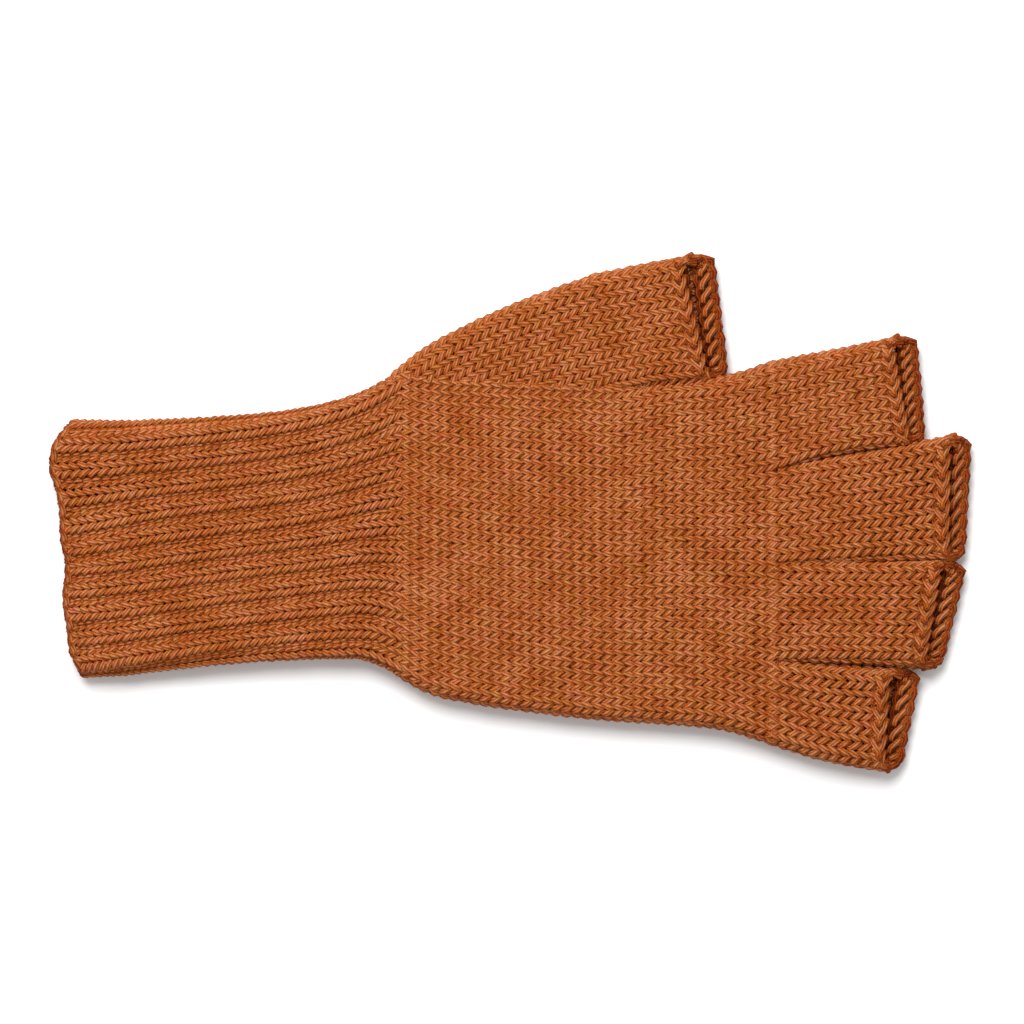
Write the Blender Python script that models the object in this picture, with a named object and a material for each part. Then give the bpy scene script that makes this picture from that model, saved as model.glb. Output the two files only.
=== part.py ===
"""A fingerless knitted glove lying flat, palm side up, made as the tubes it is knitted in.

The frame: +X from the cuff to the fingertips, +Y towards the thumb, +Z up off the table.
The origin is on the underside of the hand, in the middle of the glove. Lengths are in metres.
A tube is described by its gates. A gate is the pair of side folds that the flat tube passes
between at one place, seen from above, and the fabric is lofted from each gate to the next.
"""

import math

import bmesh
import bpy
from mathutils import Vector

MM = 0.001

# The fabric, and how the glove lies.
FABRIC = 2.4 * MM  # thickness of the knitted fabric
LOFT = 10.0 * MM  # height of the glove: two layers of fabric and the air between them
GAP = 0.3 * MM  # clearance between neighbouring pieces

# Lengths along the hand, measured from the wrist line.
WRIST_X = -27.0 * MM
CUFF_LENGTH = 82.0 * MM  # rib, without its edge chain
HAND_LENGTH = 93.0 * MM  # wrist to the line of the knuckles
THUMB_CROTCH = 54.0 * MM  # wrist to the crotch of the thumb
EDGE_CHAIN = 3.2 * MM  # length that a chained edge adds to its tube

# Widths of the flat tubes.
CUFF_EDGE_WIDTH = 63.0 * MM
CUFF_NECK_WIDTH = 60.0 * MM  # the narrowest place, where it grips the wrist
WRIST_WIDTH = 77.2 * MM
INDEX_SIDE_Y = 37.0 * MM  # the index finger's outer fold, at the knuckles

# The thumb gusset opens out of the side of the hand, from just past the wrist.
GUSSET_START = 3.0 * MM
GUSSET_SEAM_START_Y = 34.2 * MM
GUSSET_SEAM_END_Y = 30.6 * MM
THUMB_WIDTH = 28.6 * MM
THUMB_SPLAY = math.radians(15.0)
THUMB_LENGTH = 20.4 * MM
THUMB_END_WIDTH = 30.8 * MM
THUMB_END_SHIFT = -2.9 * MM  # how far the thumb's mouth lies towards the hand
THUMB_CLEAR = 0.7 * MM  # the thumb stands this far off the side of the hand

# A finger tube: its width at the knuckle, its splay, the length and width of its palm side, and
# the turn of its mouth away from square. It keeps straight ahead for a short run at the knuckle
# before it splays. The order is across the hand.
KNUCKLE_RUN = 11.0 * MM
BACK_OVERHANG = 4.8 * MM  # the back of each tube is this much longer than its palm side
FINGERS = {
    "index": {"width": 27.0, "splay": 13.0, "length": 27.4, "mouth": 26.0, "turn": 3.0},
    "middle": {"width": 22.6, "splay": 6.0, "length": 40.2, "mouth": 27.6, "turn": -5.5},
    "ring": {"width": 24.2, "splay": -1.2, "length": 35.8, "mouth": 26.6, "turn": -9.0},
    "little": {"width": 20.6, "splay": -12.0, "length": 26.2, "mouth": 21.6, "turn": 4.5},
}

# Shape of the facets.
FOLD_STEPS = 7  # facets round each side fold
SPAN_STEPS = 3  # facets from one gate to the next along a curved side

COLOURS = {
    "stockinette": (0.50, 0.17, 0.035),
    "ribbing": (0.47, 0.155, 0.032),
    "edge_chain": (0.54, 0.19, 0.04),
}

KNUCKLE_X = WRIST_X + HAND_LENGTH
CROTCH_X = WRIST_X + THUMB_CROTCH
GUSSET_X = WRIST_X + GUSSET_START


def material(name):
    """A matt woollen finish, one for each kind of knitting."""
    made = bpy.data.materials.get(name)
    if made is None:
        made = bpy.data.materials.new(name)
        made.use_nodes = True
        shader = made.node_tree.nodes["Principled BSDF"]
        shader.inputs["Base Color"].default_value = (*COLOURS[name], 1.0)
        shader.inputs["Roughness"].default_value = 0.9
        shader.inputs["Metallic"].default_value = 0.0
    return made


def add_mesh(name, bm, finish):
    """An object for each piece, shaded smooth except at its cut rims."""
    bmesh.ops.recalc_face_normals(bm, faces=bm.faces)
    mesh = bpy.data.meshes.new(name)
    bm.to_mesh(mesh)
    bm.free()
    mesh.shade_smooth()
    mesh.set_sharp_from_angle(angle=math.radians(40.0))
    mesh.materials.append(material(finish))
    piece = bpy.data.objects.new(name, mesh)
    bpy.context.scene.collection.objects.link(piece)
    return piece


def gate(low, high, overhang=0.0):
    """The side folds of a flat tube at one place. The overhang is how much longer its back is."""
    return Vector(low), Vector(high), overhang


def between(a, b, share):
    return tuple(p + (q - p) * share for p, q in zip(a, b))


def curved(gates):
    """More gates along smooth curves through these, so that the sides of the tube bend evenly."""
    found = []
    last = len(gates) - 1
    for i in range(last):
        before, a, b, after = (gates[max(0, min(last, i + k))] for k in (-1, 0, 1, 2))
        for step in range(SPAN_STEPS):
            t = step / SPAN_STEPS
            weights = (
                (-t + 2 * t**2 - t**3) / 2,
                (2 - 5 * t**2 + 3 * t**3) / 2,
                (t + 4 * t**2 - 3 * t**3) / 2,
                (t**3 - t**2) / 2,
            )
            four = (before, a, b, after)
            low, high = (
                sum((g[side] * w for g, w in zip(four, weights)), Vector((0, 0))) for side in (0, 1)
            )
            found.append((low, high, a[2] + (b[2] - a[2]) * t))
    return [*found, gates[-1]]


def ring_points(at, inset):
    """The outline of the flat tube at a gate, this far inside its outer face: two flat layers
    joined by round folds."""
    low, high, overhang = at
    across = (high - low).normalized()
    ahead = Vector((across.y, -across.x))
    radius = LOFT / 2 - inset
    centres = (high - across * (LOFT / 2), low + across * (LOFT / 2))
    points = []
    for side, centre in enumerate(centres):
        for step in range(FOLD_STEPS + 1):
            turn = math.pi * (step / FOLD_STEPS - 0.5 + side)
            plan = centre + across * (radius * math.cos(turn))
            height = LOFT / 2 + radius * math.sin(turn)
            plan += ahead * overhang * (1 - height / LOFT)
            points.append(Vector((plan.x, plan.y, height)))
    return points


def bridge(bm, first, second):
    """Faces from one ring of vertices to the next."""
    count = len(first)
    for i in range(count):
        j = (i + 1) % count
        bm.faces.new((first[i], first[j], second[j], second[i]))


def tube_mesh(gates):
    """The wall of a flat tube, open at both ends."""
    bm = bmesh.new()
    walls = [
        [[bm.verts.new(p) for p in ring_points(at, inset)] for at in gates] for inset in (0, FABRIC)
    ]
    for rings in walls:
        for first, second in zip(rings, rings[1:]):
            bridge(bm, first, second)
    for end in (0, -1):
        bridge(bm, walls[0][end], walls[1][end])
    return bm


def tube(name, gates, finish):
    return add_mesh(name, tube_mesh(gates), finish)


def edge_beyond(at, sense):
    """The two gates of the edge that is knitted on past a tube's last gate."""
    low, high, overhang = at
    across = (high - low).normalized()
    ahead = Vector((across.y, -across.x)) * sense
    near, far = ahead * GAP, ahead * (GAP + EDGE_CHAIN)
    return [(low + near, high + near, overhang), (low + far, high + far, overhang)]


def prism(name, corners):
    """A cutter: the space over and under an outline drawn from above."""
    bm = bmesh.new()
    height = 2 * LOFT
    loops = [[bm.verts.new((x, y, z)) for x, y in corners] for z in (-height, LOFT + height)]
    bridge(bm, loops[0], loops[1])
    for loop in loops:
        bm.faces.new(loop)
    cutter = add_mesh(name, bm, "stockinette")
    cutter.hide_render = True
    cutter.display_type = "WIRE"
    return cutter


def cut(piece, cutter, operation):
    """Cuts a piece with a cutter, or keeps only what is inside it."""
    modifier = piece.modifiers.new(f"cut_{cutter.name}", "BOOLEAN")
    modifier.solver = "EXACT"
    modifier.operation = operation
    modifier.object = cutter


def seam_y(x):
    """The gusset's seam along the side of the hand."""
    share = (x - GUSSET_X) / (CROTCH_X - GUSSET_X)
    return GUSSET_SEAM_START_Y + (GUSSET_SEAM_END_Y - GUSSET_SEAM_START_Y) * share


# The thumb tube starts on a line through the crotch, square to the way the thumb points.
THUMB_AHEAD = Vector((math.cos(THUMB_SPLAY), math.sin(THUMB_SPLAY)))
THUMB_ACROSS = Vector((-THUMB_AHEAD.y, THUMB_AHEAD.x))
THUMB_CROTCH_POINT = Vector((CROTCH_X, GUSSET_SEAM_END_Y))
THUMB_OUTER_POINT = THUMB_CROTCH_POINT + THUMB_ACROSS * THUMB_WIDTH


def finger_rows():
    """Each finger's low and high fold at the knuckles, stacked across the hand from the index."""
    rows = {}
    high = INDEX_SIDE_Y
    for name, size in FINGERS.items():
        low = high - size["width"] * MM
        rows[name] = (low, high)
        high = low - GAP
    return rows


ROWS = finger_rows()
LITTLE_SIDE_Y = ROWS["little"][0]


def cuff_gates():
    """From the wrist line to the edge chain, which is skewed a little."""
    skew = 2.2 * MM
    neck = 35.0 * MM
    rows = (  # distance from the wrist, middle of the tube, width
        (0.0, -3.6 * MM, WRIST_WIDTH),
        (8.0 * MM, -3.4 * MM, WRIST_WIDTH - 9.6 * MM),
        (19.0 * MM, -4.9 * MM, CUFF_NECK_WIDTH + 2.4 * MM),
        (neck, -6.5 * MM, CUFF_NECK_WIDTH),
        (CUFF_LENGTH, -9.0 * MM, CUFF_EDGE_WIDTH),
    )
    gates = []
    for reach, middle, width in rows:
        lean = skew * reach / CUFF_LENGTH
        x = WRIST_X - GAP / 2 - reach
        gates.append(gate((x + lean, middle - width / 2), (x - lean, middle + width / 2)))
    return gates


def hand_gates():
    """From the wrist line to the knuckles. On the thumb side it follows the outside of the gusset
    as far as the thumb, then drops to the crotch and follows the index finger's side."""
    wrist = cuff_gates()[0]
    drop = LITTLE_SIDE_Y
    rows = (  # distance from the wrist, little finger side, thumb side
        (GUSSET_START, wrist[0].y - 1.6 * MM, wrist[1].y + 3.2 * MM),
        (9.0 * MM, drop + 12.4 * MM, GUSSET_SEAM_START_Y + 8.0 * MM),
        (24.0 * MM, drop + 9.9 * MM, GUSSET_SEAM_START_Y + 15.6 * MM),
        (THUMB_OUTER_POINT.x - WRIST_X, drop + 6.6 * MM, THUMB_OUTER_POINT.y),
    )
    start = [gate((WRIST_X + GAP / 2, wrist[0].y), (WRIST_X + GAP / 2, wrist[1].y))]
    start += [gate((WRIST_X + r, low), (WRIST_X + r, high)) for r, low, high in rows]
    side = GUSSET_SEAM_END_Y - GAP
    rest = (
        (THUMB_CROTCH, drop + 6.3 * MM, side),
        (HAND_LENGTH - 19.0 * MM, drop + 4.6 * MM, side + 2.0 * MM),
        (HAND_LENGTH - 8.0 * MM, drop + 2.6 * MM, INDEX_SIDE_Y - 2.8 * MM),
        (HAND_LENGTH - GAP / 2, drop, INDEX_SIDE_Y),
    )
    end = [gate((WRIST_X + r, low), (WRIST_X + r, high)) for r, low, high in rest]
    return curved(start), curved(end)


def hand():
    """The hand is one tube whose thumb side is left open where the gusset joins it."""
    start, end = hand_gates()
    piece = tube("hand_tube", [*start, *end], "stockinette")
    beyond = 2 * THUMB_OUTER_POINT.y
    opening = prism(
        "gusset_opening",
        [
            (GUSSET_X, seam_y(GUSSET_X)),
            (CROTCH_X, seam_y(CROTCH_X)),
            (CROTCH_X, beyond),
            (GUSSET_X, beyond),
        ],
    )
    cut(piece, opening, "DIFFERENCE")


def gusset():
    """The triangle of fabric between the side of the hand and the thumb. It is cut out of the
    same loft as the hand, so the two lie flush."""
    start, _ = hand_gates()
    low, high, _ = start[-1]
    reach = Vector((THUMB_CROTCH, 0.0))
    past = gate(low + reach, high + reach * THUMB_AHEAD.y / THUMB_AHEAD.x + reach)
    piece = tube("thumb_gusset", [*start[1:], past], "stockinette")
    left = GUSSET_X + GAP
    back = THUMB_AHEAD * (GAP / 2)
    seam_end = THUMB_CROTCH_POINT - back + Vector((-GAP, GAP))
    outer = THUMB_OUTER_POINT - back + THUMB_ACROSS * LOFT
    keep = prism(
        "gusset_outline",
        [
            (left, seam_y(left) + GAP),
            tuple(seam_end),
            tuple(outer),
            (left, outer.y),
        ],
    )
    cut(piece, keep, "INTERSECT")


def thumb_gates():
    """From the thumb's base line to its edge chain, clear of the side of the hand."""
    base = THUMB_AHEAD * (GAP / 2)
    low = THUMB_CROTCH_POINT + THUMB_ACROSS * THUMB_CLEAR + base
    high = THUMB_OUTER_POINT + base
    end_low = low + THUMB_AHEAD * THUMB_LENGTH + THUMB_ACROSS * THUMB_END_SHIFT
    end_high = end_low + THUMB_ACROSS * THUMB_END_WIDTH
    return [gate(low, high), gate(end_low, end_high, BACK_OVERHANG)]


def finger_gates(name):
    """From the knuckle to the edge chain. A finger splays only past the knuckle run, so that
    it can bend up between its neighbours."""
    size = FINGERS[name]
    low_y, high_y = ROWS[name]
    x = KNUCKLE_X + GAP / 2
    splay = math.radians(size["splay"])
    turned = splay + math.radians(size["turn"])
    length = size["length"] * MM
    middle = Vector((x, (low_y + high_y) / 2))
    middle += Vector((math.cos(splay), math.sin(splay))) * length
    half = Vector((-math.sin(turned), math.cos(turned))) * (size["mouth"] * MM / 2)
    end = gate(middle - half, middle + half, BACK_OVERHANG)
    share = KNUCKLE_RUN / length
    run_low, run_high = between((low_y, high_y), (end[0].y, end[1].y), share)
    if name != "little":
        run_low = max(run_low, low_y)
    if name != "index":
        run_high = min(run_high, high_y)
    run = gate((x + KNUCKLE_RUN, run_low), (x + KNUCKLE_RUN, run_high), BACK_OVERHANG * share)
    return [gate((x, low_y), (x, high_y)), run, end]


def crotch_join(name, x, y):
    """The few stitches that close the fork between two tubes: a short post between the layers."""
    radius = 1.6 * MM
    height = LOFT - 2 * FABRIC - 2 * GAP
    bm = bmesh.new()
    bmesh.ops.create_cone(
        bm, cap_ends=True, segments=12, radius1=radius, radius2=radius, depth=height
    )
    post = add_mesh(name, bm, "stockinette")
    post.location = (x - radius - GAP, y, LOFT / 2)


def build():
    for old in list(bpy.data.objects):
        bpy.data.objects.remove(old)

    cuff = curved(cuff_gates())
    tube("cuff_rib", cuff, "ribbing")
    tube("cuff_edge_chain", edge_beyond(cuff[-1], -1), "edge_chain")

    hand()
    gusset()

    thumb = thumb_gates()
    tube("thumb_tube", thumb, "stockinette")
    tube("thumb_edge_chain", edge_beyond(thumb[-1], 1), "edge_chain")

    for name in FINGERS:
        gates = finger_gates(name)
        tube(f"{name}_tube", gates, "stockinette")
        tube(f"{name}_edge_chain", edge_beyond(gates[-1], 1), "edge_chain")

    names = list(FINGERS)
    for first, second in zip(names, names[1:]):
        fork_y = (ROWS[first][0] + ROWS[second][1]) / 2
        crotch_join(f"{first}_{second}_crotch_join", KNUCKLE_X, fork_y)
    crotch_join("thumb_crotch_join", CROTCH_X - FABRIC, THUMB_CROTCH_POINT.y - FABRIC)


build()
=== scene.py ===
import math

import bpy
import numpy as np
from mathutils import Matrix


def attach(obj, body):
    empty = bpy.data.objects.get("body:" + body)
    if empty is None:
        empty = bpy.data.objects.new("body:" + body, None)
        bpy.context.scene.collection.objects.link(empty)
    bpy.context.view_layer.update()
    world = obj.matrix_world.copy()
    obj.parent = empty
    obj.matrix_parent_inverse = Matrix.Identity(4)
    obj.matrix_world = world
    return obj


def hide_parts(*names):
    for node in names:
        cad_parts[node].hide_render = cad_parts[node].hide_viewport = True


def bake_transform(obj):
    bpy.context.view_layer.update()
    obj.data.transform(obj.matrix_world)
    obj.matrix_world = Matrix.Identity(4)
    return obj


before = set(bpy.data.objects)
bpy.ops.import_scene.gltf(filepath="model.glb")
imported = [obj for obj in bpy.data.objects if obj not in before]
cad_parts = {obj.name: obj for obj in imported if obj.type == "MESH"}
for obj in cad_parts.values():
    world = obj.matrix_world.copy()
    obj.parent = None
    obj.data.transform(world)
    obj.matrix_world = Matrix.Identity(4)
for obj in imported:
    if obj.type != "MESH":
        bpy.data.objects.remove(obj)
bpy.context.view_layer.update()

# ---------------------------------------------------------------------------------------------
# The hand. A tube of plain knitting in one burnt-orange wool yarn, lying flat, palm side up. Its
# palm and its back are knitted in one round, and it is open where the gusset and fingers join.
# The tips of its stitches point to the fingers.

MM = 0.001
UPPER_LAYER = 8.5 * MM  # height of the middle of the upper layer of fabric
LOWER_LAYER = 1.6 * MM  # and of the lower layer
YARN = 0.84 * MM  # radius
YARN_SIDES = 6
FABRIC_CELLS = 3  # cells of the fabric's surface to each stitch
FOLD = 2.6 * MM  # how far in from its edge the fabric starts to roll over


class Wire:
    """A value on its way through a node tree. Arithmetic on it adds Math nodes."""

    def __init__(self, maker, socket):
        self.maker = maker
        self.socket = socket

    def maths(self, operation, *values):
        settings = {"operation": operation}
        return self.maker.node("ShaderNodeMath", settings, dict(enumerate(values)))

    def __add__(self, other):
        return self.maths("ADD", self, other)

    def __radd__(self, other):
        return self.maths("ADD", other, self)

    def __sub__(self, other):
        return self.maths("SUBTRACT", self, other)

    def __rsub__(self, other):
        return self.maths("SUBTRACT", other, self)

    def __mul__(self, other):
        return self.maths("MULTIPLY", self, other)

    def __rmul__(self, other):
        return self.maths("MULTIPLY", other, self)

    def __truediv__(self, other):
        return self.maths("DIVIDE", self, other)

    def sine(self):
        return self.maths("SINE", self)

    def cosine(self):
        return self.maths("COSINE", self)

    def size(self):
        return self.maths("ABSOLUTE", self)

    def between(self, low, high):
        """0 at low and 1 at high, and no more than that outside them."""
        settings = {"clamp": True}
        return self.maker.node("ShaderNodeMapRange", settings, {0: self, 1: low, 2: high})

    def under(self, other):
        return self.maths("LESS_THAN", self, other)


class Tree:
    """Adds nodes to a node tree, for fabric or for a material."""

    def __init__(self, tree):
        self.tree = tree

    def node(self, kind, settings=None, values=None, out=0):
        """Adds a node of this type, with its settings and the values or links of its sockets.
        Gives the wire from one of its outputs, or from each where out is None."""
        made = self.tree.nodes.new(kind)
        for name, value in (settings or {}).items():
            setattr(made, name, value)
        for name, value in (values or {}).items():
            socket = made.inputs[name]
            if isinstance(value, Wire):
                self.tree.links.new(value.socket, socket)
            else:
                socket.default_value = value
        return self.wires(made)[out] if out is not None else self.wires(made)

    def wires(self, made):
        return [Wire(self, socket) for socket in made.outputs]

    def vector(self, x, y, z):
        return self.node("ShaderNodeCombineXYZ", None, {0: x, 1: y, 2: z})

    def parts(self, vector):
        return self.node("ShaderNodeSeparateXYZ", None, {0: vector}, out=None)[:3]

    def vectors(self, operation, *values):
        settings = {"operation": operation}
        return self.node("ShaderNodeVectorMath", settings, dict(enumerate(values)))


# A loop's lean is in wales and its reach in courses. No part of a strand is hidden at 2, and less
# hides the part that runs behind. A seam is a line seen from above: its right side is left out.
KNITTING_INPUTS = {
    "Points a stitch": ("NodeSocketInt", 12),
    "First wale": ("NodeSocketFloat", 0.0),
    "Wales": ("NodeSocketFloat", 10.0),
    "Courses": ("NodeSocketInt", 10),
    "Loop lean": ("NodeSocketFloat", 0.32),
    "Loop reach": ("NodeSocketFloat", 0.71),
    "Loop depth": ("NodeSocketFloat", 0.62 * MM),
    "Rib": ("NodeSocketFloat", 0.0),
    "Rib rise": ("NodeSocketFloat", 0.0),
    "Yarn radius": ("NodeSocketFloat", YARN),
    "Wobble": ("NodeSocketFloat", 0.25),
    "Swell": ("NodeSocketFloat", 0.16),
    "Hide behind": ("NodeSocketFloat", 2.0),
    "Seam from": ("NodeSocketVector", (0.0, -1.0, 0.0)),
    "Seam to": ("NodeSocketVector", (1.0, -1.0, 0.0)),
    "Finish": ("NodeSocketMaterial", None),
}


def knitting_tree():
    """Knits yarn over a fabric's surface. Each course is one strand, whose loops are drawn down
    through the course before. The surface's map counts wales one way and courses the other."""
    group = bpy.data.node_groups.new("knitting", "GeometryNodeTree")
    face = group.interface
    face.new_socket("Geometry", in_out="INPUT", socket_type="NodeSocketGeometry")
    for name, (kind, value) in KNITTING_INPUTS.items():
        socket = face.new_socket(name, in_out="INPUT", socket_type=kind)
        if value is not None:
            socket.default_value = value
    face.new_socket("Geometry", in_out="OUTPUT", socket_type="NodeSocketGeometry")
    t = Tree(group)
    wires = t.node("NodeGroupInput", out=None)
    given = {w.socket.name: w for w in wires}
    surface = given["Geometry"]

    # The strands are the lines of a grid: one for each course, with the points of every stitch.
    points = given["Wales"] * given["Points a stitch"] + 1
    grid = t.node(
        "GeometryNodeMeshGrid",
        None,
        {
            "Size X": given["Wales"],
            "Size Y": given["Courses"] - 1,
            "Vertices X": points,
            "Vertices Y": given["Courses"],
        },
    )
    start, end = t.node("GeometryNodeInputMeshEdgeVertices", out=None)[2:]
    across = t.parts(t.vectors("SUBTRACT", start, end))[1].size().under(0.5)
    middle = t.parts(t.vectors("ADD", start, end))[0] / 2 + given["Wales"] / 2
    seen = (middle * (4 * math.pi)).cosine().under(given["Hide behind"])
    strands = t.node("GeometryNodeMeshToCurve", None, {0: grid, 1: across * seen})

    # Where a point of the strand is, counted in wales and courses.
    x, y, _ = t.parts(t.node("GeometryNodeInputPosition"))
    wale = x + given["Wales"] / 2 + given["First wale"]
    course = y + (given["Courses"] - 1) / 2
    behind = (wale * (4 * math.pi)).cosine()
    knit_plumper = 0.06
    thinner = behind * given["Swell"] - (wale * math.pi).sine() * given["Rib"] * knit_plumper
    strands = t.node(
        "GeometryNodeStoreNamedAttribute",
        {"data_type": "FLOAT", "domain": "POINT"},
        {"Geometry": strands, "Name": "plump", "Value": thinner},
    )
    strands = t.node(
        "GeometryNodeStoreNamedAttribute",
        {"data_type": "FLOAT", "domain": "POINT"},
        {"Geometry": strands, "Name": "behind", "Value": behind},
    )

    # No two stitches are quite alike.
    a_stitch = 0.9  # how far the unevenness goes on, for each stitch
    noise = t.node(
        "ShaderNodeTexNoise",
        {"noise_dimensions": "3D"},
        {"Vector": t.vector(wale * a_stitch, course * a_stitch, 0.0), "Scale": 1.0, "Detail": 1.0},
        out=1,
    )
    wobble_x, wobble_y, wobble_z = t.parts(t.vectors("SUBTRACT", noise, (0.5, 0.5, 0.5)))
    wobble_rise = 2 * MM

    # A strand goes up and down once in each wale. The loops of a rib's knit wales lean over more,
    # stand up and draw together, and the ribs fade into the plain knitting over a few courses.
    fading_courses = 4
    knit_lean, rib_lean = 0.35, 0.3
    knit_depth, rib_depth = 0.5, 0.4
    skew, drawn_together = 0.06, 0.05
    turn = wale * (2 * math.pi)
    rib = given["Rib"] * course.between(given["Courses"], given["Courses"] - fading_courses)
    ribbed = (wale * math.pi).sine() * rib
    lean = given["Loop lean"] * (ribbed * knit_lean + 1 - rib * rib_lean)
    u = wale + lean * (turn * 2).sine() - skew * turn.cosine()
    u = u - (wale * math.pi).cosine() * rib * drawn_together + wobble_x * given["Wobble"]
    v = course + 0.5 + given["Loop reach"] * turn.cosine() + wobble_y * given["Wobble"]
    depth = ribbed * knit_depth + (1 - rib * rib_depth)
    rise = (turn * 2).cosine() * given["Loop depth"] * depth * -1
    rise = rise + (ribbed * given["Rib rise"]) + wobble_z * given["Wobble"] * wobble_rise

    # The strands end just inside the surface's own edges.
    margin = 0.002
    low = given["First wale"] + margin
    high = given["First wale"] + given["Wales"] - margin
    u = u.maths("MAXIMUM", u.maths("MINIMUM", u, high), low)
    spot = t.vector(u, v, 0.0)
    map_name = {"data_type": "FLOAT_VECTOR"}
    map_wire = t.node("GeometryNodeInputNamedAttribute", map_name, {"Name": "stitches"})
    sampled = []
    for value in ("GeometryNodeInputPosition", "GeometryNodeInputNormal"):
        sampled.append(
            t.node(
                "GeometryNodeSampleUVSurface",
                {"data_type": "FLOAT_VECTOR"},
                {0: surface, 1: t.node(value), 2: map_wire, 3: spot},
            )
        )
    place, normal = sampled
    off = t.node("ShaderNodeVectorMath", {"operation": "SCALE"}, {0: normal, "Scale": rise})
    place = t.vectors("ADD", place, off)
    strands = t.node("GeometryNodeSetPosition", None, {"Geometry": strands, "Position": place})

    # What lies beyond the seam, a line drawn from above, is left out.
    px, py, _ = t.parts(t.node("GeometryNodeInputPosition"))
    sx, sy, _ = t.parts(given["Seam from"])
    ex, ey, _ = t.parts(given["Seam to"])
    side = (ex - sx) * (py - sy) - (ey - sy) * (px - sx)
    strands = t.node(
        "GeometryNodeDeleteGeometry",
        {"domain": "POINT"},
        {"Geometry": strands, "Selection": side.under(0.0)},
    )

    # The yarn swells and thins as it was spun, and is thinner where its loops are drawn tight.
    length = t.node("GeometryNodeSplineParameter", out=1)
    strands = t.node(
        "GeometryNodeStoreNamedAttribute",
        {"data_type": "FLOAT", "domain": "POINT"},
        {"Geometry": strands, "Name": "along", "Value": length},
    )
    plump = t.node(
        "GeometryNodeInputNamedAttribute", {"data_type": "FLOAT"}, {"Name": "plump"}
    )
    swell = t.node(
        "ShaderNodeTexNoise",
        {"noise_dimensions": "3D"},
        {"Vector": t.node("GeometryNodeInputPosition"), "Scale": 900.0, "Detail": 1.0},
    )
    thinnest, swelling = 0.85, 0.3
    strands = t.node(
        "GeometryNodeSetCurveRadius",
        None,
        {"Curve": strands, "Radius": swell * swelling + thinnest - plump},
    )
    ring = t.node(
        "GeometryNodeCurvePrimitiveCircle",
        {"mode": "RADIUS"},
        {"Resolution": YARN_SIDES, "Radius": given["Yarn radius"]},
    )
    bearing = t.node("GeometryNodeInputIndex") * (2 * math.pi / YARN_SIDES)
    ring = t.node(
        "GeometryNodeStoreNamedAttribute",
        {"data_type": "FLOAT_VECTOR", "domain": "POINT"},
        {
            "Geometry": ring,
            "Name": "round",
            "Value": t.vector(bearing.cosine(), bearing.sine(), 0.0),
        },
    )
    yarn = t.node(
        "GeometryNodeCurveToMesh",
        None,
        {"Curve": strands, "Profile Curve": ring, "Fill Caps": True},
    )
    yarn = t.node("GeometryNodeSetShadeSmooth", None, {"Geometry": yarn})
    yarn = t.node("GeometryNodeRealizeInstances", None, {"Geometry": yarn})
    yarn = t.node("GeometryNodeSetMaterial", None, {"Geometry": yarn, "Material": given["Finish"]})
    t.node("NodeGroupOutput", None, {0: yarn}, out=None)
    return group


knitting = knitting_tree()

PLIES = 5
PLY_STEP = 6.5 * MM  # along the yarn, from one ply to the next


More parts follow.
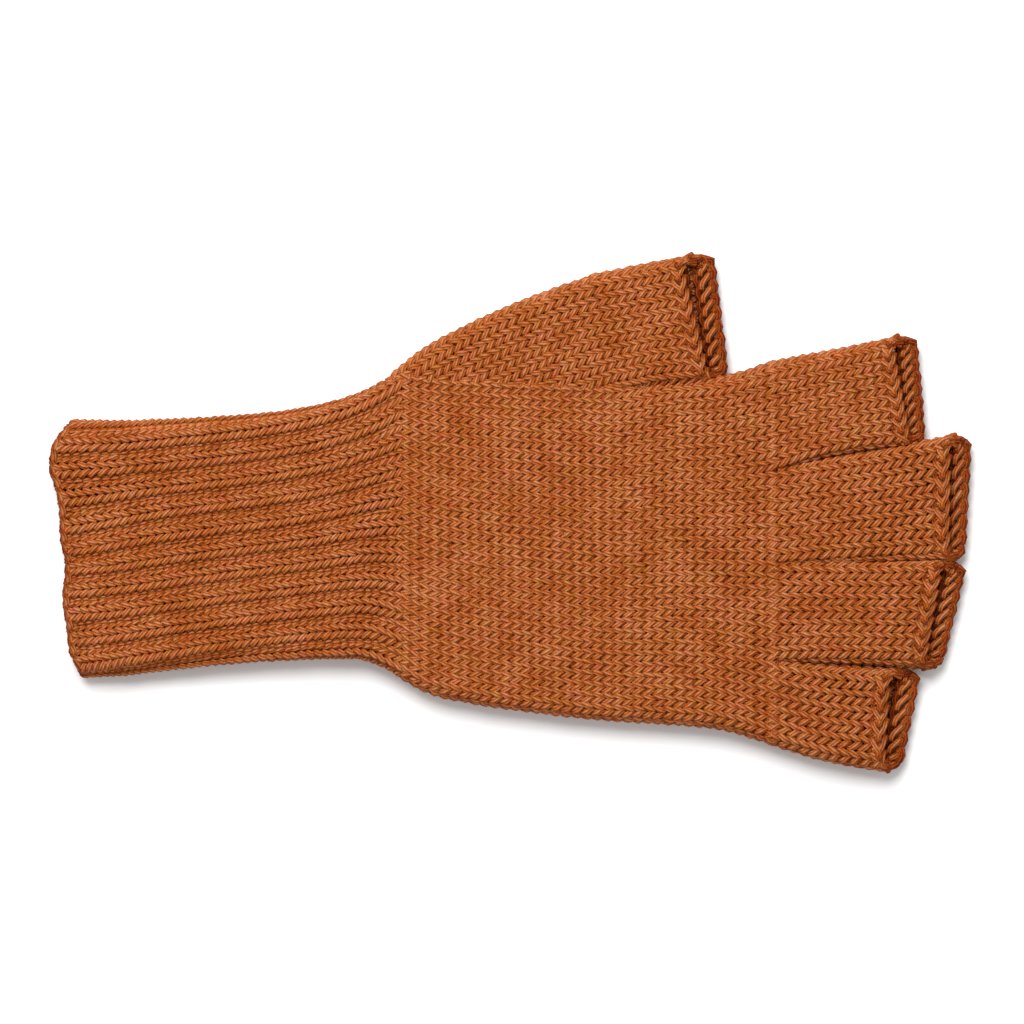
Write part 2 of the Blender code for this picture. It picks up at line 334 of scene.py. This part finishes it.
def yarn_finish(name, dark_and_shade, middle, light_and_highlight):
    """Wool yarn, of soft plies twisted together, dyed a little unevenly. Painted shade makes it
    darkest between its plies and where it runs behind, and a painted highlight makes it lightest
    on a ply's crest."""
    finish = bpy.data.materials.new(name)
    finish.use_nodes = True
    finish.node_tree.nodes.clear()
    t = Tree(finish.node_tree)
    bearing = t.node("ShaderNodeAttribute", {"attribute_name": "round"}, out=1)
    round_x, round_y, _ = t.parts(bearing)
    along = t.node("ShaderNodeAttribute", {"attribute_name": "along"}, out=2)
    place = t.node("ShaderNodeTexCoord", out=3)  # Object
    twist = round_x.maths("ARCTAN2", round_y, round_x)
    # The plies' stripes give the bump, and painted light too: painted shade in the grooves between
    # plies, a painted highlight on each ply's crest.
    plies = (twist * (PLIES / 2) + along * (math.pi / PLY_STEP)).sine().size()
    grain = t.node(
        "ShaderNodeTexNoise", None, {"Vector": place, "Scale": 2600.0, "Detail": 3.0}
    )
    patches = t.node(
        "ShaderNodeTexNoise", None, {"Vector": place, "Scale": 160.0, "Detail": 2.0}
    )
    # Where the strand runs behind the loops in front its colour is darkened by painted shade, and
    # where it runs in front it is lightened.
    behind = t.node("ShaderNodeAttribute", {"attribute_name": "behind"}, out=2)
    # The tone mixes the yarn's own grain and patches with painted shade and highlight, from the
    # plies and from running behind.
    shade = plies * 0.4 + grain * 0.7 + patches * 0.4 - behind * 0.26
    darkest, half_way, lightest = 0.38, 0.98, 1.48
    # The dark colour is both the yarn's deepest tone and painted shade; the light one, paler and
    # less saturated, is both its lighter tone and a painted highlight of sheen.
    tint = (*dark_and_shade, 1.0)
    for low, high, colour in ((darkest, half_way, middle), (half_way, lightest, light_and_highlight)):
        mixed = {0: shade.between(low, high), 6: tint, 7: (*colour, 1.0)}  # colours A and B
        tint = t.node("ShaderNodeMix", {"data_type": "RGBA"}, mixed, out=2)
    unevenness = (0.3, 0.5, 0.9)  # of the dye, in red, green and blue
    dye = t.node("ShaderNodeTexNoise", None, {"Vector": place, "Scale": 420.0}, out=1)
    dye = t.vectors("MULTIPLY", t.vectors("SUBTRACT", dye, (0.5, 0.5, 0.5)), unevenness)
    tint = t.vectors("MULTIPLY", tint, t.vectors("ADD", dye, (1.0, 1.0, 1.0)))
    fibres = 0.35  # how high single fibres stand, for a ply's 1
    relief = t.node(
        "ShaderNodeBump",
        None,
        {"Strength": 0.8, "Distance": 0.25 * MM, "Height": plies + grain * fibres},
    )
    shader = t.node(
        "ShaderNodeBsdfPrincipled",
        None,
        {
            "Base Color": tint,
            "Roughness": 0.6,
            "Specular IOR Level": 0.06,
            "Normal": relief,
        },
    )
    t.node("ShaderNodeOutputMaterial", None, {0: shader}, out=None)
    return finish


# Dark: the yarn's deepest tone and painted shade. Light: its lighter tone and a painted sheen
# highlight.
wool = yarn_finish("wool", (0.125, 0.008, 0.0), (0.315, 0.075, 0.01), (0.6, 0.255, 0.125))


def smooth_rows(rows, share):
    """The rows of numbers at this share of the way through them, on smooth curves."""
    rows = np.array(rows, float)
    last = len(rows) - 1
    place = np.clip(share, 0, 1) * last
    i = np.minimum(place.astype(int), last - 1)
    f = (place - i)[:, None]
    before, a, b, after = (rows[np.clip(i + k, 0, last)] for k in (-1, 0, 1, 2))
    return (
        a
        + f * (b - before) / 2
        + f**2 * (before - 2.5 * a + 2 * b - after / 2)
        + f**3 * (1.5 * (a - b) + (after - before) / 2)
    )


# A gate is one section of a tube. It gives the x and y of its low fold and of its high fold, how
# far its back reaches past its palm at its low and at its high fold, how fully the fabric rolls
# over at each, how far its high fold stays open, and how many wales the tube has twisted by.
GATE_LENGTHS = 6  # the first numbers of a gate are lengths
FINE_ROWS = 40  # from one gate to the next, before they are spaced evenly


def gates_of(rows):
    """Gates, from rows whose lengths are in millimetres."""
    gates = np.array(rows, float)
    gates[:, :GATE_LENGTHS] *= MM
    return gates


def even_rows(gates, courses):
    """A gate for each edge of the fabric's cells, evenly spaced, and one course more at each
    end, and how many courses along each is."""
    fine = smooth_rows(gates, np.linspace(0, 1, FINE_ROWS * len(gates)))
    middle = (fine[:, 0:2] + fine[:, 2:4]) / 2
    run = np.concatenate([[0], np.cumsum(np.linalg.norm(np.diff(middle, axis=0), axis=1))])
    pitch = run[-1] / courses
    wanted = np.arange(-FABRIC_CELLS, (courses + 1) * FABRIC_CELLS + 1) * pitch / FABRIC_CELLS
    rows = np.stack([np.interp(wanted, run, column) for column in fine.T], axis=1)
    inner = 4  # rows in from each end, which its slope is taken over
    for edge, near, past in ((0, inner, wanted < 0), (-1, -1 - inner, wanted > run[-1])):
        slope = (fine[edge] - fine[near]) / (run[edge] - run[near])
        slope[GATE_LENGTHS:] = 0
        rows[past] = fine[edge] + slope * (wanted[past] - run[edge])[:, None]
    return rows, wanted / pitch


FOLD_POINTS = 15  # round each fold, before they are spaced evenly


def section(gate, cells):
    """Points round one section of the flat tube, from its high fold over its palm to its low
    fold, and back. Each layer has the same number of cells."""
    low, high = gate[0:2], gate[2:4]
    low_reach, high_reach, low_roll, high_roll, high_open = gate[4:9]
    low_roll, high_roll = FOLD * low_roll, FOLD * high_roll
    width = np.linalg.norm(high - low)
    turn = np.linspace(0, math.pi / 2, FOLD_POINTS)
    high_fold = width - high_roll + high_roll * np.cos(turn)
    low_fold = low_roll - low_roll * np.sin(turn)
    far = np.concatenate([high_fold, low_fold])
    height = np.concatenate([high_open + (1 - high_open) * np.sin(turn), np.cos(turn)])
    run = np.hypot(np.diff(far), np.diff(height) * (UPPER_LAYER - LOWER_LAYER) / 2)
    run = np.concatenate([[0], np.cumsum(run)])
    wanted = np.linspace(0, run[-1], cells + 1)
    far = np.interp(wanted, run, far)
    height = np.interp(wanted, run, height)
    far = np.concatenate([far, far[-2::-1]])
    height = np.concatenate([height, -height[-2::-1]]) / 2 + 0.5
    across = (high - low) / width
    ahead = np.array((across[1], -across[0]))
    reach = low_reach + (high_reach - low_reach) * far / width
    plan = low + across * far[:, None] + ahead * (reach * (1 - height))[:, None]
    z = LOWER_LAYER + (UPPER_LAYER - LOWER_LAYER) * height + height * lie(*plan.T)
    return np.column_stack([plan, z])


def lie(x, y):
    """The slight unevenness of fabric that lies on a table."""
    long_wave, cross_wave, height = 23 * MM, 17 * MM, 0.18 * MM
    swell = np.sin(x / long_wave + 0.7) * np.cos(y / cross_wave - 0.4)
    return height * swell


def tube(gates, wales, courses):
    """The surface of a flat tube, and the wale and course at each of its points."""
    rows, course = even_rows(gates, courses)
    cells = int(round(wales * FABRIC_CELLS / 2))
    wale = np.linspace(0, wales, 2 * cells + 1)
    points = []
    for gate in rows:
        ring = section(gate, cells)
        twisted = gate[-1]
        turned = [np.interp(wale + twisted, wale, ring[:, k], period=wales) for k in range(3)]
        points.append(ring if twisted == 0 else np.stack(turned, axis=1))
    return np.array(points), wale, course


def half(points, wale, course, layer):
    """Only the palm or only the back of a tube."""
    middle = len(wale) // 2
    kept = slice(0, middle + 1) if layer == "palm" else slice(middle, None)
    return points[:, kept], wale[kept], course


def surface(name, points, wale, course):
    """A mesh over rows of points, whose map counts wales and courses."""
    tall, wide = points.shape[:2]
    index = np.arange(tall * wide).reshape(tall, wide)
    corners = (index[:-1, :-1], index[:-1, 1:], index[1:, 1:], index[1:, :-1])
    faces = np.stack([c.ravel() for c in corners], axis=1)
    mesh = bpy.data.meshes.new(name)
    mesh.from_pydata(points.reshape(-1, 3), [], faces.tolist())
    counts = np.stack(np.meshgrid(wale, course), axis=2).reshape(-1, 2)
    layer = mesh.uv_layers.new(name="stitches")
    layer.data.foreach_set("uv", counts[faces.ravel()].ravel())
    mesh.shade_smooth()
    made = bpy.data.objects.new(name, mesh)
    bpy.context.scene.collection.objects.link(made)
    return made


def knit(name, cloth, finish, **inputs):
    """Knits yarn over the surface of some cloth, and leaves the yarn in its place."""
    modifier = cloth.modifiers.new("knitting", "NODES")
    modifier.node_group = knitting
    sockets = {s.name: s for s in knitting.interface.items_tree if s.in_out == "INPUT"}
    for key, value in {**inputs, "Finish": finish}.items():
        modifier[sockets[key].identifier] = value
    graph = bpy.context.evaluated_depsgraph_get()
    mesh = bpy.data.meshes.new_from_object(
        cloth.evaluated_get(graph), preserve_all_data_layers=True, depsgraph=graph
    )
    mesh.name = name
    cloth_mesh = cloth.data
    bpy.data.objects.remove(cloth)
    bpy.data.meshes.remove(cloth_mesh)
    made = bpy.data.objects.new(name, mesh)
    bpy.context.scene.collection.objects.link(made)
    return made


HAND_WALES = 62
HAND_COURSES = 37
HAND_GATES = gates_of(
    [
        (-27.6, -40.5, -27.6, 34.6, 0, 0, 1, 1, 1, 0),
        (-20.5, -44.5, -20.5, 33.2, 0, 0, 1, 1, 1, 0),
        (-8.0, -47.3, -8.0, 32.5, 0, 0, 1, 1, 1, 0),
        (4.5, -49.0, 4.5, 31.9, 0, 0, 1, 1, 1, 0),
        (16.5, -50.5, 16.5, 31.3, 0, 0, 1, 1, 1, 0),
        (27.0, -51.4, 27.0, 30.8, 0, 0, 1, 1, 0.8, 0),
        (40.0, -52.2, 40.0, 31.6, 0, 0, 1, 1, 0, 0),
        (53.0, -53.6, 53.0, 33.0, 0, 0, 1, 1, 0, 0),
        (66.2, -57.6, 66.2, 37.0, 0, 0, 1, 1, 0, 0),
    ]
)

hand = tube(HAND_GATES, HAND_WALES, HAND_COURSES)
for layer, first_wale in (("palm", 0.0), ("back", HAND_WALES / 2)):
    cloth = surface(f"hand_{layer}_cloth", *half(*hand, layer))
    piece = knit(
        f"hand_{layer}_knitting",
        cloth,
        wool,
        **{"First wale": first_wale, "Wales": HAND_WALES / 2, "Courses": HAND_COURSES},
    )
    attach(piece, "hand")
    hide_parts("hand_tube")

# ---------------------------------------------------------------------------------------------
# The cuff. A long tube of one by one rib in the same yarn, which draws in to grip the wrist: knit
# wales stand up as rounded ridges and the purl wales sink between them.

CUFF_WALES = 44
CUFF_COURSES = 42
CUFF_GATES = gates_of(
    [
        (-110.6, -40.2, -112.4, 21.9, 0, 0, 1, 1, 0, 0),
        (-98.0, -39.5, -98.6, 21.6, 0, 0, 1, 1, 0, -0.25),
        (-84.3, -38.1, -84.3, 22.1, 0, 0, 1, 1, 0, -0.5),
        (-69.3, -36.6, -69.3, 22.9, 0, 0, 1, 1, 0, -0.75),
        (-56.0, -35.8, -56.0, 24.2, 0, 0, 1, 1, 0, -0.95),
        (-44.0, -35.5, -44.0, 26.8, 0, 0, 1, 1, 0, -1.1),
        (-35.5, -36.3, -35.5, 30.0, 0, 0, 1, 1, 0, -1.2),
        (-27.2, -40.8, -27.2, 35.2, 0, 0, 1, 1, 0, -1.3),
    ]
)
CUFF_RIB_RISE = 0.42 * MM
CUFF_LOWEST = 2.1 * MM  # of the middle of the fabric, so that its ribs lie on the table
WORN_COURSES = 7.0
CUFF_CLOSING = 0.4  # how much closer together the layers are at the very end


def hump(place, middle, half_width):
    """1 at the middle, and falls away smoothly on both sides of it."""
    return np.exp(-(((place - middle) / half_width) ** 2))


# The open end is worn out of shape: one part of it bulges, its corners are rounded, its ribs bend
# and its layers come together. Each hump is so many millimetres, at one place across the cuff.
cuff_points, cuff_wale, cuff_course = tube(CUFF_GATES, CUFF_WALES, CUFF_COURSES)
worn = hump(np.maximum(cuff_course, 0), 0, WORN_COURSES)[:, None]
end_y = cuff_points[:, :, 1] - 0.9 * MM
bulge = 2.6 * hump(end_y, 10 * MM, 8 * MM)
corners = 2.6 * hump(end_y, 22 * MM, 3 * MM) + 3.4 * hump(end_y, -41 * MM, 4 * MM)
waves = 0.5 * np.sin(end_y / (2.9 * MM))
bend = 2.2 * hump(end_y, -4 * MM, 9 * MM)
cuff_points[:, :, 0] += (corners + waves - bulge) * worn * MM
cuff_points[:, :, 1] -= bend * worn * MM
cuff_points[:, :, 2] += (UPPER_LAYER / 2 - cuff_points[:, :, 2]) * CUFF_CLOSING * worn**6
cuff_points[:, :, 2] = np.maximum(cuff_points[:, :, 2], CUFF_LOWEST)
for layer, first_wale in (("palm", 0.0), ("back", CUFF_WALES / 2)):
    cloth = surface(f"cuff_{layer}_cloth", *half(cuff_points, cuff_wale, cuff_course, layer))
    piece = knit(
        f"cuff_{layer}_ribbing",
        cloth,
        wool,
        **{
            "First wale": first_wale,
            "Wales": CUFF_WALES / 2,
            "Courses": CUFF_COURSES,
            "Rib": 1.0,
            "Loop reach": 0.68,
            "Yarn radius": 0.82 * MM,
            "Rib rise": CUFF_RIB_RISE,
        },
    )
    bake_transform(piece)
    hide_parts("cuff_rib")

# A chain of loops closes off the stitches at every open end. Its seat is how far in from the end
# it lies, how far it faces away from the fabric on the palm side and on the back, in radians, half
# its width, and how far it stands up.
CUFF_CHAIN_SEAT = (0.3 * MM, 1.7, 1.7, 1.0 * MM, 0.4 * MM)
CHAIN_CELLS = 10
CHAIN_ARC = 1.45  # radians to each side of its middle
FOLD_CHAIN_WIDTH = 0.5  # of its width elsewhere, where it goes round a fold
BACK_CHAIN_WIDER = 0.35
BACK_CHAIN_INSET = 0.5 * MM
EASING_ROUNDS = 4


def eased(ring):
    """The points or directions round a ring, with sharp turns softened."""
    for _ in range(EASING_ROUNDS):
        ahead = np.concatenate([ring[1:], ring[1:2]])
        behind = np.concatenate([ring[-2:-1], ring[:-1]])
        ring = (behind + 2 * ring + ahead) / 4
    return ring


def rim(points, wale, end, inset, palm_tilt, back_tilt, half_width, stand):
    """The surface of a chain round the open end of a tube, one stitch wide. The end is 1 where
    the tube's last course is open, and -1 where its first is."""
    step = 1 if end > 0 else -1
    edge = points[-1 - FABRIC_CELLS] if end > 0 else points[FABRIC_CELLS]
    inner = points[-1 - 2 * FABRIC_CELLS] if end > 0 else points[2 * FABRIC_CELLS]
    out = edge - inner
    out = out / np.linalg.norm(out, axis=1)[:, None]
    along = np.roll(edge[:-1], -1, axis=0) - np.roll(edge[:-1], 1, axis=0)
    along = np.concatenate([along, along[:1]])
    face = np.cross(along, out) * step
    face = face / np.linalg.norm(face, axis=1)[:, None]
    tilt = (palm_tilt + back_tilt) / 2 + (palm_tilt - back_tilt) / 2 * face[:, 2:3]
    facing = eased(np.cos(tilt) * face + np.sin(tilt) * out)
    side = eased(np.sin(tilt) * face - np.cos(tilt) * out)
    under = np.maximum(-face[:, 2:3], 0)
    flat = np.abs(face[:, 2:3])
    share = FOLD_CHAIN_WIDTH + (1 - FOLD_CHAIN_WIDTH) * flat + BACK_CHAIN_WIDER * under
    side = side * eased(share)
    turn = np.linspace(-CHAIN_ARC, CHAIN_ARC, CHAIN_CELLS + 1)
    middle = eased(edge - out * (inset + BACK_CHAIN_INSET * under * step))
    strip = (
        middle[:, None]
        + side[:, None] * (np.sin(turn) * half_width)[None, :, None] * -step
        + facing[:, None] * (np.cos(turn) * stand)[None, :, None]
    )
    strip[:, :, 2] = np.maximum(strip[:, :, 2], LOWER_LAYER)
    overlap = FABRIC_CELLS
    strip = np.concatenate([strip[-1 - overlap : -1], strip, strip[1 : 1 + overlap]])
    pitch = wale[1] - wale[0]
    course = np.arange(-overlap, len(wale) + overlap) * pitch
    return strip, np.linspace(0, 1, CHAIN_CELLS + 1), course


def edge_chain(name, points, wale, finish, end, seat):
    """The chain round an open end, with a stitch for each wale."""
    cloth = surface(f"{name}_cloth", *rim(points, wale, end, *seat))
    stitches = int(round(wale[-1]))
    return knit(
        name,
        cloth,
        finish,
        **{
            "Wales": 1.0,
            "Courses": stitches,
            "Yarn radius": 0.78 * MM,
            "Loop reach": 0.85,
            "Loop lean": 0.4,
            "Loop depth": 0.5 * MM,
            "Points a stitch": 24,
            "Swell": 0.3,
            "Hide behind": 0.35,
        },
    )


piece = edge_chain(
    "cuff_edge_chain_yarn", cuff_points, cuff_wale, wool, -1, CUFF_CHAIN_SEAT
)
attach(piece, "cuff")
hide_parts("cuff_edge_chain")

# ---------------------------------------------------------------------------------------------
# The thumb gusset and the thumb. The gusset's wales follow its outer edge, so they meet the hand
# at a slant along a seam, and run on into the open tube of the thumb.

THUMB_WALES = 21
GUSSET_COURSES = 22
GUSSET_GATES = gates_of(
    [
        (-15.9, 8.8, -29.8, 33.8, 0, 0, 1, 1, 0, 0),
        (-6.4, 15.9, -20.3, 41.0, 0, 0, 1, 1, 0, 0),
        (7.2, 22.9, -5.3, 48.6, 0, 0, 1, 1, 0, 0),
        (20.1, 28.1, 9.7, 54.7, 0, 0, 1, 1, 0, 0),
        (27.9, 30.6, 19.8, 58.1, 0, 0, 1, 1, 0, 0),
    ]
)
SEAM_FROM = (-27.0 * MM, 32.4 * MM, 0.0)
SEAM_TO = (27.0 * MM, 29.9 * MM, 0.0)

cloth = surface("gusset_cloth", *tube(GUSSET_GATES, THUMB_WALES, GUSSET_COURSES))
piece = knit(
    "thumb_gusset_knitting",
    cloth,
    wool,
    **{
        "Wales": float(THUMB_WALES),
        "Courses": GUSSET_COURSES,
        "Seam from": SEAM_FROM,
        "Seam to": SEAM_TO,
    },
)
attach(piece, "hand")
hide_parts("thumb_gusset", "thumb_crotch_join")

THUMB_COURSES = 9
THUMB_GATES = gates_of(
    [
        (27.9, 30.9, 19.6, 58.5, 0, 0, 0.3, 1, 0, 0),
        (38.0, 32.2, 31.2, 60.7, 2.0, 3.4, 0.9, 1, 0, 0),
        (48.4, 32.8, 41.2, 62.3, 5.0, 8.6, 0.6, 0.4, 0, 0),
    ]
)
FINGER_CHAIN_SEAT = (0.9 * MM, 0.15, 2.3, 1.9 * MM, 1.3 * MM)
CLOSING = 0.35  # how much closer together the layers are at an open end
CLOSING_COURSES = 2.5


def drawn_in(points, wale, course):
    """A tube whose two layers come closer together towards its open end."""
    end = course[-1 - FABRIC_CELLS]
    close = hump(np.minimum(course - end, 0), 0, CLOSING_COURSES)[:, None]
    points[:, :, 2] += ((UPPER_LAYER + LOWER_LAYER) / 2 - points[:, :, 2]) * CLOSING * close
    return points, wale, course


thumb = drawn_in(*tube(THUMB_GATES, THUMB_WALES, THUMB_COURSES))
cloth = surface("thumb_cloth", *thumb)
piece = knit(
    "thumb_knitting",
    cloth,
    wool,
    **{"Wales": float(THUMB_WALES), "Courses": THUMB_COURSES},
)
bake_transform(piece)
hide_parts("thumb_tube")

piece = edge_chain("thumb_edge_chain_yarn", *thumb[:2], wool, 1, FINGER_CHAIN_SEAT)
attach(piece, "thumb")
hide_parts("thumb_edge_chain")

# ---------------------------------------------------------------------------------------------
# The fingers. Four open tubes of plain knitting, which join the hand along the knuckles. The back
# of each reaches past its palm side.

# How many wales and courses each has, and its gates.
FINGERS = {
    "index": (
        20,
        13,
        (
            (64.2, 10.2, 64.2, 36.6, 0, 0, 0.2, 1, 0, 0),
            (76.0, 13.6, 75.0, 38.8, 1.0, 1.8, 0.8, 1, 0, 0),
            (87.0, 15.9, 84.5, 40.6, 2.0, 3.8, 1, 1, 0, 0),
            (98.6, 17.1, 94.0, 42.4, 4.0, 6.6, 0.6, 0.4, 0, 0),
        ),
    ),
    "middle": (
        18,
        17,
        (
            (64.2, -12.6, 64.2, 9.8, 0, 0, 0.2, 0.2, 0, 0),
            (80.0, -12.3, 80.0, 13.1, 1.2, 1.6, 0.8, 0.8, 0, 0),
            (94.0, -11.9, 94.0, 15.5, 2.4, 3.3, 1, 1, 0, 0),
            (108.2, -11.4, 108.4, 18.3, 4.4, 5.8, 0.6, 0.4, 0, 0),
        ),
    ),
    "ring": (
        18,
        15,
        (
            (64.2, -37.0, 64.2, -13.0, 0, 0, 0.2, 0.2, 0, 0),
            (78.0, -37.1, 80.0, -12.9, 1.2, 1.6, 0.8, 0.8, 0, 0),
            (91.0, -37.6, 94.0, -12.7, 2.6, 3.6, 1, 1, 0, 0),
            (102.2, -37.9, 106.5, -12.4, 4.8, 6.6, 0.5, 0.6, 0, 0),
        ),
    ),
    "little": (
        15,
        11,
        (
            (64.2, -57.0, 64.2, -37.6, 0, 0, 1, 0.2, 0, 0),
            (75.0, -60.6, 76.0, -38.6, 1.7, 2.4, 1, 0.8, 0, 0),
            (84.0, -62.6, 86.0, -39.2, 3.2, 5.2, 1, 1, 0, 0),
            (92.0, -64.0, 93.4, -39.8, 4.6, 8.0, 0.8, 0.4, 0, 0),
        ),
    ),
}

for name, (wales, courses, rows) in FINGERS.items():
    gates = gates_of(rows)
    finger = drawn_in(*tube(gates, wales, courses))
    cloth = surface(f"{name}_cloth", *finger)
    piece = knit(
        f"{name}_knitting", cloth, wool, **{"Wales": float(wales), "Courses": courses}
    )
    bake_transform(piece)
    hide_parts(f"{name}_tube")

    piece = edge_chain(f"{name}_edge_chain_yarn", *finger[:2], wool, 1, FINGER_CHAIN_SEAT)
    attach(piece, name)
    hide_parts(f"{name}_edge_chain")

# Between the fingers and at the thumb the tubes' knitting touches. The real join's few stitches
# aren't made one by one, and the hand's palm stands for them.
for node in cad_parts:
    if node.endswith("_crotch_join"):
        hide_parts(node)

# ---------------------------------------------------------------------------------------------
# The table, the light and the camera. A white table under one broad soft light from the upper
# left, with a pale room all round, seen from straight above.

TABLE = 3.0  # from its middle to its edge
CAMERA_HEIGHT = 1.3  # above the glove
VIEW_WIDTH = 0.256

table_mesh = bpy.data.meshes.new("table")
table_mesh.from_pydata(
    [(-TABLE, -TABLE, 0), (TABLE, -TABLE, 0), (TABLE, TABLE, 0), (-TABLE, TABLE, 0)],
    [],
    [(0, 1, 2, 3)],
)
table = bpy.data.objects.new("table", table_mesh)
bpy.context.scene.collection.objects.link(table)
table_white = bpy.data.materials.new("table_white")
table_white.use_nodes = True
white_shader = table_white.node_tree.nodes["Principled BSDF"]
white_shader.inputs["Base Color"].default_value = (0.9, 0.9, 0.9, 1.0)
white_shader.inputs["Roughness"].default_value = 0.9
table_mesh.materials.append(table_white)

room = bpy.data.worlds.new("room")
room.use_nodes = True
room.node_tree.nodes["Background"].inputs["Color"].default_value = (1.0, 1.0, 1.0, 1.0)
room.node_tree.nodes["Background"].inputs["Strength"].default_value = 0.6
bpy.context.scene.world = room
bpy.context.scene.view_settings.view_transform = "Standard"

lamp_data = bpy.data.lights.new("window", "AREA")
lamp_data.shape = "DISK"
lamp_data.size = 0.9
lamp_data.energy = 23.0
lamp = bpy.data.objects.new("window", lamp_data)
lamp.location = (-0.28, 0.72, 1.1)
lamp.rotation_euler = (-lamp.location).to_track_quat("-Z", "Y").to_euler()
bpy.context.scene.collection.objects.link(lamp)

camera_data = bpy.data.cameras.new("camera")
camera_data.lens = camera_data.sensor_width * CAMERA_HEIGHT / VIEW_WIDTH
camera = bpy.data.objects.new("camera", camera_data)
camera.location = (0.0, 0.0, CAMERA_HEIGHT + UPPER_LAYER)
bpy.context.scene.collection.objects.link(camera)
bpy.context.scene.camera = camera
